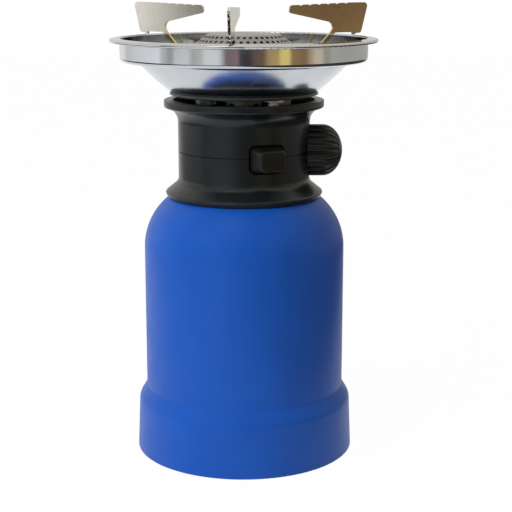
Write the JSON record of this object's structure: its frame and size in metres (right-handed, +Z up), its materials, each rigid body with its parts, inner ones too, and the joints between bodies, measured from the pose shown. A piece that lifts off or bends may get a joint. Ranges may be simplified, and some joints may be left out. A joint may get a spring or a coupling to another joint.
{
  "type": "portable gas stove",
  "caption": "Camping gas stove: bell over a pierceable cartridge, hand collar with knob and spark igniter, pan with ported burner and blade pan supports.",
  "frame": {"origin": "on the axis of the bell, on the plane of the ring it stands on", "axes": "+Z up along the axis, +X through the knob, -Y the front"},
  "size_m": [0.1234, 0.126, 0.2108],
  "materials": {
    "blue_plastic": "satin moulded ABS",
    "black_plastic": "satin moulded nylon",
    "knob_plastic": "satin moulded",
    "can_paint": "gloss lacquer on tinplate",
    "brass": "turned",
    "zinc_steel": "zinc plated",
    "rubber": "moulded nitrile",
    "black_enamel": "semi-matt heat resisting paint",
    "chrome_plate": "bright plated",
    "burner_steel": "pressed stainless steel",
    "support_steel": "bright zinc plated sheet",
    "ceramic": "white glaze",
    "white_plastic": "moulded",
    "lead_jacket": "silicone jacket"
  },
  "bodies": {
    "bell_unit": {"bell": "blue_plastic", "gas_cartridge": "can_paint", "neck_bush": "brass", "neck_ring_nut": "zinc_steel"},
    "base": {"base_cup": "black_plastic"},
    "burner_head": {"valve_body": "brass", "piercing_needle": "zinc_steel", "cartridge_gasket": "rubber", "inlet_filter": "brass", "collar_lock_nut": "brass", "collar_lower": "black_plastic", "collar_upper": "black_plastic", "collar_screws": "zinc_steel", "gland_nut": "brass", "spindle_o_ring": "rubber", "injector": "brass", "mixing_tube": "zinc_steel", "burner_nut": "zinc_steel", "burner_bracket": "zinc_steel", "heat_shield": "black_enamel", "pan": "chrome_plate", "burner_cup": "burner_steel", "burner_cap": "burner_steel", "support_bolts": "zinc_steel", "support_nuts": "zinc_steel", "pan_support_front": "support_steel", "pan_support_left": "support_steel", "pan_support_right": "support_steel", "electrode_insulator": "ceramic", "electrode_pin": "zinc_steel", "electrode_clip": "zinc_steel", "piezo_unit": "white_plastic", "ignition_wire": "lead_jacket"},
    "knob": {"knob": "knob_plastic", "valve_spindle": "brass"},
    "button": {"piezo_button": "knob_plastic", "piezo_plunger": "white_plastic"}
  },
  "joints": [
    {"name": "head_screw", "type": "hinge", "parent": "bell_unit", "child": "burner_head", "pos_m": [0, 0, 0.12], "axis": [0, 0, 1], "range_deg": [0, 360]},
    {"name": "base_turn", "type": "hinge", "parent": "bell_unit", "child": "base", "pos_m": [0, 0, 0.01], "axis": [0, 0, 1], "range_deg": [0, 65]},
    {"name": "knob_turn", "type": "hinge", "parent": "burner_head", "child": "knob", "pos_m": [0, 0, 0.1436], "axis": [1, 0, 0], "range_deg": [0, 360]},
    {"name": "piezo_press", "type": "slide", "parent": "burner_head", "child": "button", "axis": [-0.3502, 0.9367, 0], "range_m": [0, 0.0045], "stiffness_N_per_m": 4000, "springref_m": -0.0005}
  ]
}
